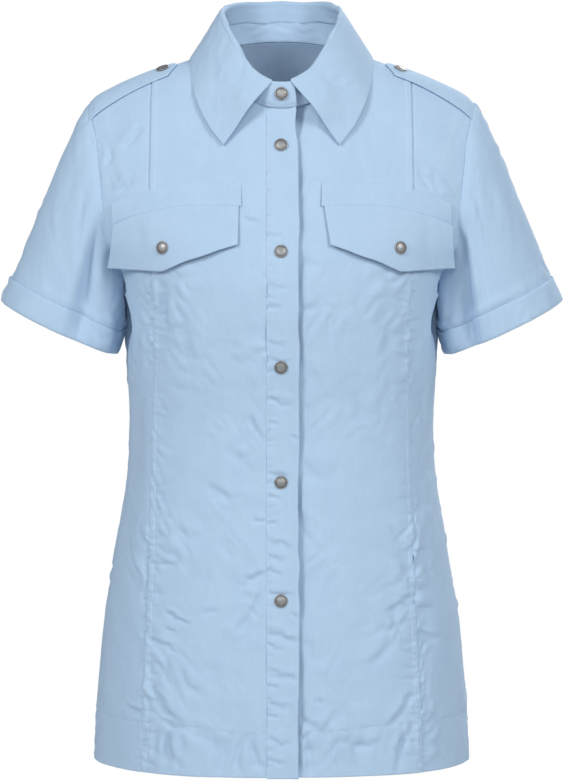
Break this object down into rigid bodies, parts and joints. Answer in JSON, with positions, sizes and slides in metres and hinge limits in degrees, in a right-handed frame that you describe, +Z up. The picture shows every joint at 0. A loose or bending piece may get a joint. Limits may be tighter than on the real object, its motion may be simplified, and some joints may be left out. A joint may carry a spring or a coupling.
{
  "type": "short-sleeved shirt",
  "caption": "Fitted short-sleeved cotton shirt, filled out as if worn, with press studs, epaulettes and chest flaps.",
  "frame": {"origin": "middle of the shoulders, level with the two points where the neck seam meets the shoulders", "axes": "+X to the wearer's left, which is the right as seen from the front, -Y to the front, +Z up"},
  "size_m": [0.5504, 0.2621, 0.7496],
  "materials": {
    "cloth": "plain-woven light blue cotton, matt, with soft creases and tone-on-tone stitching",
    "studs": "antique silver, domed cap with a dulled rim"
  },
  "bodies": {
    "root": {"front_centre_right": "cloth", "front_centre_left": "cloth", "front_side_right": "cloth", "front_side_left": "cloth", "back": "cloth", "placket": "cloth", "pocket_band_right": "cloth", "pocket_flap_right": "cloth", "pocket_band_left": "cloth", "pocket_flap_left": "cloth", "sleeve_left": "cloth", "sleeve_right": "cloth", "cuff_left": "cloth", "cuff_right": "cloth", "collar_stand": "cloth", "collar": "cloth", "epaulette_left": "cloth", "epaulette_right": "cloth", "stud_front_1": "studs", "stud_front_2": "studs", "stud_front_3": "studs", "stud_front_4": "studs", "stud_front_5": "studs", "stud_front_6": "studs", "stud_flap_right": "studs", "stud_flap_left": "studs", "stud_strap_left": "studs", "stud_strap_right": "studs"}
  },
  "joints": []
}
